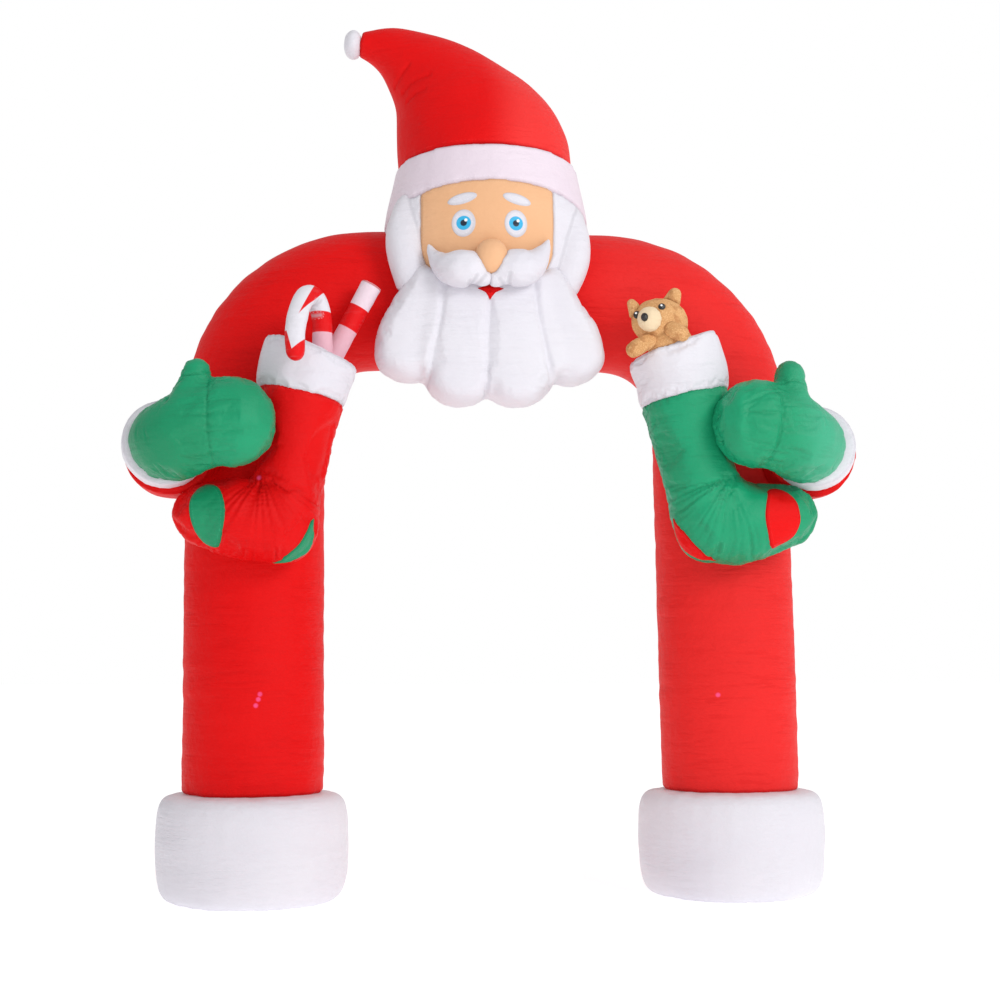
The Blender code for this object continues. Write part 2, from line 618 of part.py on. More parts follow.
# The bear in the right stocking: head and chest are one chamber, with its paws over the rim.
bear_head = joined("bear_head", [
    ball("head", 0.503, -0.400, 1.926, (0.096, 0.082, 0.078), sides=18),
    ball("chest", 0.535, -0.395, 1.860, (0.080, 0.075, 0.070), sides=14),
])
cut_by(bear_head, stocking_cuffs["right"])
BEAR_LIMBS = {
    "bear_ear_left": (Ring(0.425, -0.400, 1.955, 0.026), Ring(0.408, -0.402, 1.985, 0.016)),
    "bear_ear_right": (Ring(0.536, -0.395, 1.975, 0.034), Ring(0.556, -0.395, 2.020, 0.024)),
    "bear_paw_left": (
        Ring(0.470, -0.430, 1.860, 0.024), Ring(0.428, -0.458, 1.834, 0.028), Ring(0.400, -0.474, 1.816, 0.027),
    ),
    "bear_paw_right": (
        Ring(0.515, -0.450, 1.900, 0.024), Ring(0.538, -0.478, 1.881, 0.027), Ring(0.558, -0.485, 1.870, 0.026),
    ),
}
for name, rings in BEAR_LIMBS.items():
    limb = blown(name, rings, sides=10, steps=2, round_start=True)
    cut_by(limb, bear_head, stocking_cuffs["right"])
    dressed(brown_cloth, limb)
bear_muzzle = ball("bear_muzzle", 0.455, -0.468, 1.920, (0.042, 0.035, 0.042), sides=12)
bear_nose = ball("bear_nose", 0.432, -0.498, 1.920, (0.012, 0.010, 0.014), sides=10)
cut_by(bear_muzzle, bear_head)
cut_by(bear_nose, bear_muzzle)
BEAR_EYES = {"bear_eye_left": (0.420, -0.436, 1.940), "bear_eye_right": (0.496, -0.471, 1.960)}
for name, (x, y, z) in BEAR_EYES.items():
    eye = ball(name, x, y, z, (0.013, 0.008, 0.013), sides=10)
    cut_by(eye, bear_head, bear_muzzle)
    dressed(black_bead, eye)
dressed(brown_cloth, bear_head)
dressed(cream_cloth, bear_muzzle)
dressed(black_bead, bear_nose)
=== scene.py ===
"""An inflatable arch, blown up: a red cloth tube on two white drum feet, a bearded figure in a tall hat over its top,
two mittened arms, and two hanging stockings with candy canes and a toy bear."""

import math

import bmesh
import bpy
import numpy as np
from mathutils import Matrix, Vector, noise
from mathutils.bvhtree import BVHTree
from mathutils.kdtree import KDTree


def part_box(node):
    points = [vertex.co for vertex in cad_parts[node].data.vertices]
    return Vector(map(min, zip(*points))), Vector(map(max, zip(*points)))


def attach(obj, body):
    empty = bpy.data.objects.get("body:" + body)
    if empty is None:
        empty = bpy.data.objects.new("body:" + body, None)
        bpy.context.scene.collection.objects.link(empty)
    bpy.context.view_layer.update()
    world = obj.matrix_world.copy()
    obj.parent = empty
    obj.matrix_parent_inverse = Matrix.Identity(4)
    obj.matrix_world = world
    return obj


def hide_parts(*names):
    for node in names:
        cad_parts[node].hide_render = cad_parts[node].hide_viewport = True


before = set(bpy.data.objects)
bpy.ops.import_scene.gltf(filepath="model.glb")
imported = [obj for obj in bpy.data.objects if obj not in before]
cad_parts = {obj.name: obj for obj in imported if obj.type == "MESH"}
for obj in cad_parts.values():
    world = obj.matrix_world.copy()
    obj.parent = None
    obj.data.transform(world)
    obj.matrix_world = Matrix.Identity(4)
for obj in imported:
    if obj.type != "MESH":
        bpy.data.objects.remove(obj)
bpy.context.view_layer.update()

# ---- The arch tube ----
# One long sleeve of thin coated polyester taffeta, sewn from panels and held round by air. It is stitched
# to the feet, and lamps inside shine through it as faint pink spots.

ARCH_X, ARCH_Y = 0.033, 0.146


def arch(x, y, z):
    """A point measured from the arch's own plane, set into the frame."""
    return (x + ARCH_X, y + ARCH_Y, z)


class Wire:
    """A socket in a material. Python's arithmetic on it adds Math nodes."""

    def __init__(self, tree, socket=None):
        self.tree, self.socket = tree, socket

    def node(self, kind, settings=None, sockets=None, output=0):
        made = self.tree.nodes.new(kind)
        for name, value in (settings or {}).items():
            setattr(made, name, value)
        for name, value in (sockets or {}).items():
            if isinstance(value, Wire):
                self.tree.links.new(value.socket, made.inputs[name])
            else:
                made.inputs[name].default_value = value
        return Wire(self.tree, made.outputs[output])

    def math(self, operation, *values):
        return self.node("ShaderNodeMath", {"operation": operation}, dict(enumerate(values)))

    def __add__(self, other):
        return self.math("ADD", self, other)

    def __radd__(self, other):
        return self.math("ADD", other, self)

    def __sub__(self, other):
        return self.math("SUBTRACT", self, other)

    def __rsub__(self, other):
        return self.math("SUBTRACT", other, self)

    def __mul__(self, other):
        return self.math("MULTIPLY", self, other)

    def __rmul__(self, other):
        return self.math("MULTIPLY", other, self)

    def below(self, edge, softness):
        """1 where the value lies under the edge, fading to 0 over the softness."""
        return self.node(
            "ShaderNodeMapRange", {"interpolation_type": "SMOOTHSTEP"},
            {"Value": self, "From Min": edge - softness, "From Max": edge + softness, "To Min": 1.0, "To Max": 0.0},
        )

    def mixed(self, first, second):
        """A colour between two, with this value as the share of the second."""
        return self.node("ShaderNodeMix", {"data_type": "RGBA"}, {0: self, 6: first, 7: second}, output=2)


def rgb(colour):
    return (*colour, 1.0)


WEAVE, STITCH = 0.0011, 0.0045  # the pitch of the threads and of the stitches
STITCH_LINE = 0.011  # how far the stitches run from the seam


def taffeta(name, colour, shade, paint=None, roughness=0.38, gloss=0.14, painted_glow=0.10, slack=1.0, crease_shade=0.09):
    """Thin coated cloth: a plain weave, level slack wrinkles, cloudy colour, lighter stitches beside its seams,
    painted shade in the wrinkles' creases and along its seams, and a faint painted glow in its own colour.
    """
    material = bpy.data.materials.new(name)
    material.use_nodes = True
    tree = material.node_tree
    shader = tree.nodes["Principled BSDF"]
    wire = Wire(tree)
    place = wire.node("ShaderNodeTexCoord", output=3)
    split = wire.node("ShaderNodeSeparateXYZ", sockets={0: place}).socket.node
    x, y, z = (Wire(tree, split.outputs[axis]) for axis in range(3))

    def cloud(scale, detail=2.0, rough=0.5, vector=place):
        return wire.node(
            "ShaderNodeTexNoise", None, {"Vector": vector, "Scale": scale, "Detail": detail, "Roughness": rough}
        )

    def ribs(direction, pitch):
        return wire.node(
            "ShaderNodeTexWave", {"bands_direction": direction, "wave_profile": "SIN"},
            {"Vector": place, "Scale": math.pi / 10 / pitch, "Distortion": 0.4, "Detail": 1.0, "Detail Scale": 2.0},
        )

    seam = wire.node("ShaderNodeAttribute", {"attribute_name": "seam"}, output=2)
    near_seam = seam.below(0.006, 0.006)
    off_line = seam - STITCH_LINE
    stitches = off_line.math("ABSOLUTE", off_line).below(0.0011, 0.0006)
    diagonal = ribs("DIAGONAL", STITCH)
    thread = stitches * diagonal.math("GREATER_THAN", diagonal, 0.42)
    crease_shade_colour, seam_shade_colour = (rgb(tuple(part * share for part in shade)) for share in (0.80, 0.72))
    bright = rgb(tuple(min(1.0, part * 1.1 + 0.02) for part in colour))
    base = (cloud(2.3) * 1.6 - 0.3).mixed(rgb(colour), rgb(shade))
    base = (cloud(19.0, 4.0) * 0.35).mixed(base, rgb(shade))
    if paint:
        base = paint(wire, base, x, y, z)
    level = wire.node("ShaderNodeVectorMath", {"operation": "MULTIPLY"}, {0: place, 1: (7.0, 7.0, 60.0)})
    slackness = cloud(5.0) * 2.6 - 0.8
    level = cloud(1.0, 3.0, 0.6, level)
    # Painted shade: darker colour in the creases of the level slack wrinkles, and darker still within a few
    # millimetres of each seam, where the cloth is drawn in.
    crease = level.below(0.42, 0.05) * slackness
    base = (crease * crease_shade).mixed(base, crease_shade_colour)
    base = (near_seam * 0.55).mixed(base, seam_shade_colour)
    base = (thread * 0.35).mixed(base, bright)
    crumple = cloud(26.0, 3.0, 0.6) * (0.0030 * slack)
    wrinkles = level * slackness * (0.0046 * slack)
    fine = (ribs("X", WEAVE) + ribs("Z", WEAVE)) * 0.00008
    height = crumple + wrinkles + fine + thread * 0.0004
    bump = wire.node("ShaderNodeBump", None, {"Height": height, "Distance": 1.0, "Strength": 1.0})
    rough = roughness - 0.06 + cloud(7.0) * 0.12
    for socket, value in (("Base Color", base), ("Roughness", rough), ("Normal", bump)):
        tree.links.new(value.socket, shader.inputs[socket])
    # Painted light: the cloth glows faintly in its own colour, as if lit from inside, which lightens its shade.
    tree.links.new(base.socket, shader.inputs["Emission Color"])
    shader.inputs["Emission Strength"].default_value = painted_glow
    shader.inputs["Specular IOR Level"].default_value = gloss
    return material


def coordinates(piece):
    flat = np.empty(len(piece.data.vertices) * 3, np.float32)
    piece.data.vertices.foreach_get("co", flat)
    return flat.reshape(-1, 3).astype(float)


def normals(piece):
    flat = np.empty(len(piece.data.vertices) * 3, np.float32)
    piece.data.vertices.foreach_get("normal", flat)
    return flat.reshape(-1, 3).astype(float)


def reshape(piece, points):
    piece.data.vertices.foreach_set("co", points.astype(np.float32).ravel())
    piece.data.update()


def sharp_points(node, fold_in=16, fold_out=42, pitch=0.004):
    """Points along a solid's seams: the edges where it turns sharply, and less sharply where it is drawn in."""
    shape = bmesh.new()
    shape.from_mesh(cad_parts[node].data)
    bmesh.ops.remove_doubles(shape, verts=shape.verts, dist=0.00001)
    bmesh.ops.dissolve_degenerate(shape, dist=0.00001, edges=shape.edges)
    points = []
    for edge in shape.edges:
        if len(edge.link_faces) != 2:
            continue
        bend = math.degrees(edge.calc_face_angle_signed(0.0))
        if bend > fold_out or bend < -fold_in:
            a, b = (vertex.co for vertex in edge.verts)
            count = max(1, int((b - a).length / pitch))
            points.extend(a.lerp(b, step / count) for step in range(count + 1))
    shape.free()
    return points


def nearest(piece, line):
    """For each of a piece's points, which point of the line lies nearest and how far off it is."""
    tree = KDTree(len(line))
    for index, point in enumerate(line):
        tree.insert(point, index)
    tree.balance()
    found = [tree.find(point) for point in coordinates(piece)]
    return np.array([hit[1] for hit in found]), np.array([hit[2] for hit in found])


def even_out(piece, rounds, share):
    """Draws each point towards the middle of its neighbours, by a share of its own, as air rounds the cloth."""
    points = coordinates(piece)
    edges = np.empty(len(piece.data.edges) * 2, np.int32)
    piece.data.edges.foreach_get("vertices", edges)
    first, second = edges.reshape(-1, 2).T
    count = len(points)
    valence = np.maximum(np.bincount(first, minlength=count) + np.bincount(second, minlength=count), 1)
    for _ in range(rounds):
        for axis in range(3):
            column = points[:, axis]
            total = np.bincount(first, column[second], count) + np.bincount(second, column[first], count)
            points[:, axis] = column + share * (total / valence - column)
    reshape(piece, points)


SOFT_FROM = 0.030  # how far from a seam the cloth is quite free


def sewn(node, voxel, material, rounds, grow=0.0025, fold_in=16, fold_out=42):
    """A soft piece over its solid: an even fine cloth mesh with its facets blown round and its seams kept."""
    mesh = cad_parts[node].data.copy()
    piece = bpy.data.objects.new(node + "_cloth", mesh)
    bpy.context.scene.collection.objects.link(piece)
    step = piece.modifiers.new("even", "REMESH")
    step.mode, step.voxel_size = "VOXEL", voxel
    bpy.context.view_layer.update()
    shaped = bpy.data.meshes.new_from_object(piece.evaluated_get(bpy.context.evaluated_depsgraph_get()))
    piece.modifiers.clear()
    piece.data = shaped
    shaped.name = node + "_cloth"
    shaped.materials.clear()
    shaped.materials.append(material)
    line = sharp_points(node, fold_in, fold_out)
    away = nearest(piece, line)[1] if line else np.ones(len(shaped.vertices))
    even_out(piece, rounds, 0.5 * np.clip(away / SOFT_FROM, 0.14, 1.0))
    reshape(piece, coordinates(piece) + normals(piece) * grow)
    mark = shaped.attributes.new("seam", "FLOAT", "POINT")
    mark.data.foreach_set("value", away.astype(np.float32))
    shaped.shade_smooth()
    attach(piece, "root")
    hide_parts(node)
    return piece


def gather(piece, line, pleat, reach, pitch, groove=0.0, width=0.006, seed=0.0):
    """Draws the cloth in along a seam, and pleats it with folds that run away from the seam and die out."""
    line = [Vector(point) for point in line]
    index, away = nearest(piece, line)
    folds = np.array([noise.noise(point / pitch + Vector((seed, 0.0, 0.0))) for point in line])
    lengths = np.array([noise.noise(point / (2.3 * pitch) + Vector((0.0, seed + 7.0, 0.0))) for point in line])
    fold = np.clip(0.5 + 0.9 * folds[index], 0.0, 1.0) ** 1.5
    run = reach * (1.0 + 0.6 * lengths[index])
    depth = groove * np.exp(-((away / width) ** 2)) + pleat * fold * np.exp(-away / run)
    out = normals(piece)
    reshape(piece, coordinates(piece) - out * depth[:, None])


def hoop(x, z, radius, spacing=0.005):
    """Points round a level seam, centred on the arch's plane."""
    count = int(2 * math.pi * radius / spacing)
    turns = (2 * math.pi * step / count for step in range(count))
    return [arch(x + radius * math.cos(turn), radius * math.sin(turn), z) for turn in turns]


def rumple(piece, size, depth, stretch=(1.0, 1.0, 1.0), seed=0.0):
    """Slack in the cloth: low waves, drawn out along one or two directions."""
    scale = Vector(stretch) / size
    start = Vector((seed, 2.0 * seed, 0.0))
    waves = np.array([noise.noise(Vector(point) * scale + start) for point in coordinates(piece)])
    reshape(piece, coordinates(piece) + normals(piece) * (waves * depth)[:, None])


RED, RED_SHADE = (0.72, 0.006, 0.006), (0.62, 0.003, 0.004)
LIT_RED, LAMP_PINK = (0.80, 0.060, 0.055, 1.0), (1.0, 0.16, 0.50, 1.0)
FOOT_TOP, LEG_RADIUS = 0.356, 0.2375
LEG_FEET = (-0.827, 0.826)
LAMP_SPOTS = ((-0.803, 0.693), (-0.808, 0.676), (-0.816, 0.656), (0.731, 0.687), (-0.812, 1.388))


def lamp_glow(wire, base, x, y, z):
    """The lit right side, and the lamps inside as small pink spots on the front of the legs and the red stocking."""
    base = ((1.0 - x.below(0.30 + ARCH_X, 0.15)) * 0.30).mixed(base, LIT_RED)
    total = None
    for spot_x, spot_z in LAMP_SPOTS:
        across, up = x - (spot_x + ARCH_X), z - spot_z
        spot = (across * across + up * up).below(0.00005, 0.00005) * y.below(ARCH_Y - 0.1, 0.01)
        total = spot if total is None else total + spot
    return (total * 0.42).mixed(base, LAMP_PINK)


red = taffeta("red_taffeta", RED, RED_SHADE, roughness=0.5, gloss=0.09, crease_shade=0.22)
red_tube = taffeta(
    "red_taffeta_tube", RED, RED_SHADE, paint=lamp_glow, roughness=0.5, gloss=0.09, slack=1.4, crease_shade=0.25
)
tube = sewn("arch_tube", 0.010, red_tube, rounds=44, grow=0.0035, fold_in=40)
rumple(tube, 0.30, 0.0024, stretch=(1.0, 1.0, 9.0), seed=3.0)
rumple(tube, 0.22, 0.0022, seed=9.0)
for side_x in LEG_FEET:
    gather(tube, hoop(side_x, FOOT_TOP, LEG_RADIUS), pleat=0.006, reach=0.05, pitch=0.05, groove=0.004, seed=side_x)

# ---- The feet ----
# Two low drums of the same cloth in white, each with a flat base that holds a weight bag inside. The side wall is
# one strip, gathered slightly where it is sewn to the round top and base.

FOOT_RADIUS, FOOT_SEAMS = 0.262, (0.003, 0.353)
FLOOR = (-math.inf, -math.inf, 0.0)
WHITE, WHITE_SHADE = (0.71, 0.70, 0.74), (0.63, 0.61, 0.67)
white = taffeta("white_taffeta", WHITE, WHITE_SHADE)
for side, side_x in zip(("left", "right"), LEG_FEET):
    foot = sewn("foot_" + side, 0.009, white, rounds=18, grow=0.003, fold_in=30, fold_out=170)
    rumple(foot, 0.25, 0.003, stretch=(1.0, 1.0, 3.0), seed=side_x)
    for z in FOOT_SEAMS:
        gather(foot, hoop(side_x, z, FOOT_RADIUS), pleat=0.004, reach=0.04, pitch=0.035, seed=side_x + z)
    reshape(foot, np.maximum(coordinates(foot), FLOOR))

# ---- The hat ----
# A tall red cone that bends to one side, with a white band sewn between it and the head and a white pompom on its
# tip. Slack cloth creases on the inside of the bend.


def bvh(piece):
    """A piece's surface, for laying seams and patches on."""
    polygons = [tuple(face.vertices) for face in piece.data.polygons]
    return BVHTree.FromPolygons([tuple(point) for point in coordinates(piece)], polygons)


def front_line(piece, corners, spacing=0.004):
    """Points along a run of (x, z) corners, laid on a piece's front."""
    surface = bvh(piece)
    line = []
    for (x0, z0), (x1, z1) in zip(corners, corners[1:]):
        count = max(1, int(math.hypot(x1 - x0, z1 - z0) / spacing))
        for step in range(count + 1):
            share = step / count
            at = arch(x0 + (x1 - x0) * share, -1.2, z0 + (z1 - z0) * share)
            hit = surface.ray_cast(Vector(at), Vector((0.0, 1.0, 0.0)))[0]
            if hit:
                line.append(hit)
    return line


def hat_light(wire, base, x, y, z):
    """The hat's right half, where light shines through the thin cloth."""
    return ((1.0 - x.below(-0.01 + ARCH_X, 0.08)) * 0.5).mixed(base, LIT_RED)


hat_red = taffeta("red_taffeta_hat", RED, RED_SHADE, paint=hat_light, roughness=0.5, gloss=0.09, crease_shade=0.22)
hat = sewn("hat", 0.007, hat_red, rounds=60, fold_in=170)
rumple(hat, 0.16, 0.0035, stretch=(1.0, 1.0, 1.6), seed=4.0)
HAT_CREASES = (
    ((-0.372, 2.785), (-0.361, 2.802), (-0.349, 2.820), (-0.327, 2.845)),
    ((-0.345, 2.752), (-0.325, 2.772), (-0.300, 2.785), (-0.260, 2.793)),
    ((-0.330, 2.715), (-0.305, 2.735), (-0.275, 2.742)),
)
for crease in HAT_CREASES:
    gather(hat, front_line(hat, crease), pleat=0.0, reach=0.01, pitch=0.03, groove=0.007, width=0.007)
# The band is white cloth; its pink tint is painted light, the red of the hat shining onto it.
RED_LIT_WHITE, RED_LIT_WHITE_SHADE = (0.76, 0.68, 0.74), (0.68, 0.58, 0.66)
red_lit_white = taffeta("red_lit_white_taffeta", RED_LIT_WHITE, RED_LIT_WHITE_SHADE)
band = sewn("hat_band", 0.007, red_lit_white, rounds=40, grow=0.003)
rumple(band, 0.12, 0.002, stretch=(1.0, 1.0, 0.5), seed=5.0)
pompom = sewn("pompom", 0.0035, white, rounds=30, grow=0.001)
rumple(pompom, 0.03, 0.002, seed=6.0)

# ---- The hair and beard ----
# Puffed white chambers: the hair over the head with a lock at each side, and a beard of four lobes side by side,
# parted by sewn lines that do not go right through to the back.


def press_flat(piece, radius, share, cell=0.008):
    """Brings hollows on the front forward, towards what stands out within a radius, as an air-tight front is."""
    points, out = coordinates(piece), normals(piece)
    front = out[:, 1] < -0.15
    low = points[:, [0, 2]].min(0) - 2 * radius
    size = ((points[:, [0, 2]].max(0) + 2 * radius - low) / cell).astype(int) + 1
    nearest_y = np.full(size, 9.0)
    at = ((points[:, [0, 2]] - low) / cell).astype(int)
    np.minimum.at(nearest_y, (at[front, 0], at[front, 1]), points[front, 1])
    reach = int(radius / cell)
    spread = nearest_y.copy()
    for i in range(-reach, reach + 1):
        for k in range(-reach, reach + 1):
            if i * i + k * k <= reach * reach:
                spread = np.minimum(spread, np.roll(nearest_y, (i, k), (0, 1)))
    target = spread[at[:, 0], at[:, 1]]
    pull = share * np.clip(-out[:, 1] * 1.5 - 0.2, 0.0, 1.0)
    points[:, 1] += pull * (np.minimum(target, points[:, 1]) - points[:, 1])
    reshape(piece, points)
    even_out(piece, 14, 0.5 * np.clip(-out[:, 1], 0.1, 1.0))


def edge_tacks(piece, size=0.016, least=0.12, seed=0.0):
    """Short runs of the sewn edge round a piece, as seen from the front, where the thread holds tightest."""
    points, out = coordinates(piece), normals(piece)
    rim = [Vector(point) for point in points[np.abs(out[:, 1]) < 0.10]]
    return [point for point in rim if noise.noise(point / size + Vector((seed, 0.0, 0.0))) > least]


def puffed(piece, held, slack=0.05, cap=0.008, pressure=4.0, frames=12):
    """Blows air into a piece whose cloth is cut a little large, with its seams held, so that it puckers by itself."""
    start = coordinates(piece)
    away = nearest(piece, held)[1]
    group = piece.vertex_groups.new(name="held")
    for index, share in enumerate(np.clip(1.4 - away / 0.007, 0.0, 1.0)):
        if share > 0.0:
            group.add([index], float(share), "REPLACE")
    air = piece.modifiers.new("air", "CLOTH")
    cloth = air.settings
    cloth.quality, cloth.mass, cloth.air_damping = 4, 0.15, 2.0
    cloth.tension_stiffness = cloth.compression_stiffness = 15.0
    cloth.shear_stiffness, cloth.bending_stiffness = 8.0, 0.3
    cloth.use_pressure, cloth.uniform_pressure_force = True, pressure
    cloth.shrink_min = -slack
    cloth.vertex_group_mass = "held"
    cloth.effector_weights.gravity = 0.0
    air.point_cache.frame_start, air.point_cache.frame_end = 1, frames
    scene = bpy.context.scene
    for step in range(1, frames + 1):
        scene.frame_set(step)
    blown = piece.evaluated_get(bpy.context.evaluated_depsgraph_get()).data
    flat = np.empty(len(blown.vertices) * 3, np.float32)
    blown.vertices.foreach_get("co", flat)
    move = flat.reshape(-1, 3) - start
    far = np.maximum(np.linalg.norm(move, axis=1), 1e-6)
    piece.modifiers.clear()
    piece.vertex_groups.clear()
    scene.frame_set(1)
    reshape(piece, start + move * np.minimum(1.0, cap / far)[:, None])


hair = sewn("hair", 0.0065, white, rounds=50, grow=0.003)
rumple(hair, 0.07, 0.003, stretch=(1.6, 1.0, 0.5), seed=7.0)
beard = sewn("beard", 0.0070, white, rounds=26, grow=0.003, fold_in=170)
press_flat(beard, 0.085, 0.80)
seams = []
BEARD_SEAMS = (
    ((-0.215, 2.035), (-0.227, 1.931), (-0.250, 1.814), (-0.269, 1.700)),
    ((-0.066, 1.985), (-0.069, 1.885), (-0.072, 1.768), (-0.075, 1.640)),
    ((0.084, 2.043), (0.097, 1.939), (0.124, 1.816), (0.150, 1.680)),
)
for number, corners in enumerate(BEARD_SEAMS):
    line = front_line(beard, corners)
    gather(beard, line, pleat=0.003, reach=0.020, pitch=0.022, groove=0.009, width=0.009, seed=20.0 + number)
    seams += line
rumple(beard, 0.10, 0.003, stretch=(1.5, 1.0, 0.5), seed=8.0)
puffed(beard, seams + edge_tacks(beard, least=0.05, seed=21.0), slack=0.03, cap=0.006)

# ---- The face ----
# A flesh-coloured panel let into the head, with a stuffed nose, two puffed moustache halves and printed cloth
# patches for the eyes, brows and mouth. The features are plain shapes of this part's own.

FLESH, FLESH_SHADE = (0.78, 0.48, 0.29), (0.70, 0.38, 0.20)
FACE_X = -0.070
flesh = taffeta("flesh_taffeta", FLESH, FLESH_SHADE)
face = sewn("face", 0.0065, flesh, rounds=40, grow=0.003)
nose = sewn("nose", 0.0030, flesh, rounds=30, grow=0.001)
for side in ("left", "right"):
    moustache = sewn("moustache_" + side, 0.0040, white, rounds=40, grow=0.002)
    rumple(moustache, 0.03, 0.002, seed=11.0)


def oval(x, z, half_width, half_height, turn=0.0, corners=48):
    """The outline of an oval, turned anticlockwise as seen from the front."""
    points = []
    for corner in range(corners):
        a = 2 * math.pi * corner / corners
        across, up = half_width * math.cos(a), half_height * math.sin(a)
        points.append((
            x + across * math.cos(turn) - up * math.sin(turn), z + across * math.sin(turn) + up * math.cos(turn),
        ))
    return points


TUCK = -0.002  # the rim of a patch goes this far into the cloth under it


def laid_on(node, host, outline, material, lift, rings=12, aim=Vector((0.0, -1.0, 0.0))):
    """A patch laid on a piece inside an outline seen from one direction, in one fine sheet with its rim sewn down."""
    surface = bvh(host)
    across = Vector((0.0, 0.0, 1.0)).cross(aim).normalized()
    up = aim.cross(across)
    middle = np.mean(np.array(outline), axis=0)
    shares = [1.04] + [1.0 - (ring / rings) ** 1.3 for ring in range(rings)]
    points, rows = [], []
    for share in shares:
        row = []
        for corner in outline:
            at = middle + (np.array(corner) - middle) * share
            start = across * at[0] + up * at[1] + aim * 2.0
            hit = surface.ray_cast(start, -aim)
            if hit[0] is None:
                hit = surface.find_nearest(start - aim * 1.6)
            raised = (TUCK if share > 1.0 else lift * 0.6) if share > 0.99 else lift
            row.append(len(points))
            points.append(hit[0] + hit[1] * raised)
        rows.append(row)
    count = len(outline)
    faces = []
    for outer, inner in zip(rows, rows[1:]):
        for corner in range(count):
            after = (corner + 1) % count
            faces.append((outer[corner], outer[after], inner[after], inner[corner]))
    faces.append(tuple(rows[-1]))
    mesh = bpy.data.meshes.new(node + "_patch")
    mesh.from_pydata([tuple(point) for point in points], [], faces)
    mesh.update()
    patch = bpy.data.objects.new(node + "_patch", mesh)
    bpy.context.scene.collection.objects.link(patch)
    if sum(polygon.normal.dot(aim) for polygon in mesh.polygons) < 0:
        mesh.flip_normals()
    even_out(patch, 3, 0.4 * np.array([0.0] * (2 * count) + [1.0] * (len(points) - 2 * count)))
    mark = mesh.attributes.new("seam", "FLOAT", "POINT")
    rim = [Vector(points[index]) for index in rows[1]]
    mark.data.foreach_set("value", nearest(patch, rim)[1].astype(np.float32))
    mesh.materials.append(material)
    mesh.shade_smooth()
    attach(patch, "root")
    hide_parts(node)


IRIS_BLUE, PUPIL, EYE_LIGHT = (0.045, 0.40, 0.68, 1.0), (0.02, 0.03, 0.05, 1.0), (0.9, 0.9, 0.9, 1.0)
EYE_SPREAD, EYE_Z = 0.086, 2.235
BROW_SPREAD, BROW_Z, BROW_TILT = 0.090, 2.318, math.radians(14)


def eye_paint(eye_x, eye_z):
    """An iris ring, pupil and light spot, printed on a white oval."""
    def paint(wire, base, x, y, z):
        across, up = x - (eye_x + ARCH_X), z - eye_z
        far = across.math("SQRT", across * across + up * up)
        side, over = across - 0.007, up - 0.009
        spot = across.math("SQRT", side * side + over * over)
        base = far.below(0.0235, 0.001).mixed(base, IRIS_BLUE)
        base = far.below(0.0105, 0.001).mixed(base, PUPIL)
        return spot.below(0.005, 0.001).mixed(base, EYE_LIGHT)
    return paint


for side, way in (("left", -1), ("right", 1)):
    eye_x = FACE_X + way * EYE_SPREAD
    print_white = taffeta("eye_print_" + side, WHITE, WHITE_SHADE, paint=eye_paint(eye_x, EYE_Z))
    laid_on("eye_" + side, face, oval(eye_x + ARCH_X, EYE_Z, 0.038, 0.045), print_white, lift=0.0015)
    brow = oval(FACE_X + ARCH_X + way * BROW_SPREAD, BROW_Z, 0.048, 0.018, turn=-way * BROW_TILT)
    laid_on("brow_" + side, face, brow, white, lift=0.0015, rings=6)
MOUTH_X, MOUTH_Z = -0.064, 2.022
MOUTH = (
    (MOUTH_X - 0.042, MOUTH_Z), (MOUTH_X - 0.016, MOUTH_Z - 0.012), (MOUTH_X, MOUTH_Z - 0.034),
    (MOUTH_X + 0.016, MOUTH_Z - 0.012), (MOUTH_X + 0.042, MOUTH_Z), (MOUTH_X, MOUTH_Z + 0.016),
)
laid_on("mouth", beard, [(x + ARCH_X, z) for x, z in MOUTH], red, lift=0.007, rings=8)

# ---- The arms ----
# A forearm out of each leg: a red sleeve, a white cuff sewn round its end, and a green mitten whose thumb points
# up. The hand is pressed against the stocking beside it.

GREEN, GREEN_SHADE = (0.012, 0.37, 0.180), (0.008, 0.22, 0.095)
LIT_GREEN = (0.14, 0.60, 0.42, 1.0)
green = taffeta("green_taffeta", GREEN, GREEN_SHADE, roughness=0.33, gloss=0.22, painted_glow=0.05, crease_shade=0.22)


def mitten_light(wire, base, x, y, z):
    """The left palm lies in shade below its thumb and the right one shines near the wrist."""
    shaded = x.below(-0.965 + ARCH_X, 0.05) * z.below(1.600, 0.14)
    lit = 1.0 - x.below(0.960 + ARCH_X, 0.09)
    return (lit * 0.30).mixed((shaded * 0.70).mixed(base, rgb(GREEN_SHADE)), LIT_GREEN)


mitten_green = taffeta(
    "green_taffeta_mitten", GREEN, GREEN_SHADE, paint=mitten_light, roughness=0.33, gloss=0.22, painted_glow=0.05, crease_shade=0.22
)
MITTEN_SEAMS = {
    "left": ((-0.958, 1.705), (-0.972, 1.685), (-0.972, 1.601), (-0.969, 1.508), (-0.959, 1.446), (-0.940, 1.385)),
    "right": ((0.838, 1.696), (0.860, 1.651), (0.864, 1.596), (0.848, 1.505), (0.823, 1.421)),
}
THUMB_SEAMS = {
    "left": ((-1.050, 1.690), (-1.002, 1.697), (-0.960, 1.706)),
    "right": ((0.862, 1.700), (0.915, 1.712), (0.962, 1.700)),
}
NOTCHES = {
    "left": ((-0.765, 1.523, 0.012), (-0.785, 1.440, 0.016), (-0.834, 1.413, 0.012), (-1.085, 1.600, 0.010)),
    "right": ((0.645, 1.601, 0.012), (0.652, 1.504, 0.014), (0.683, 1.434, 0.012)),
}
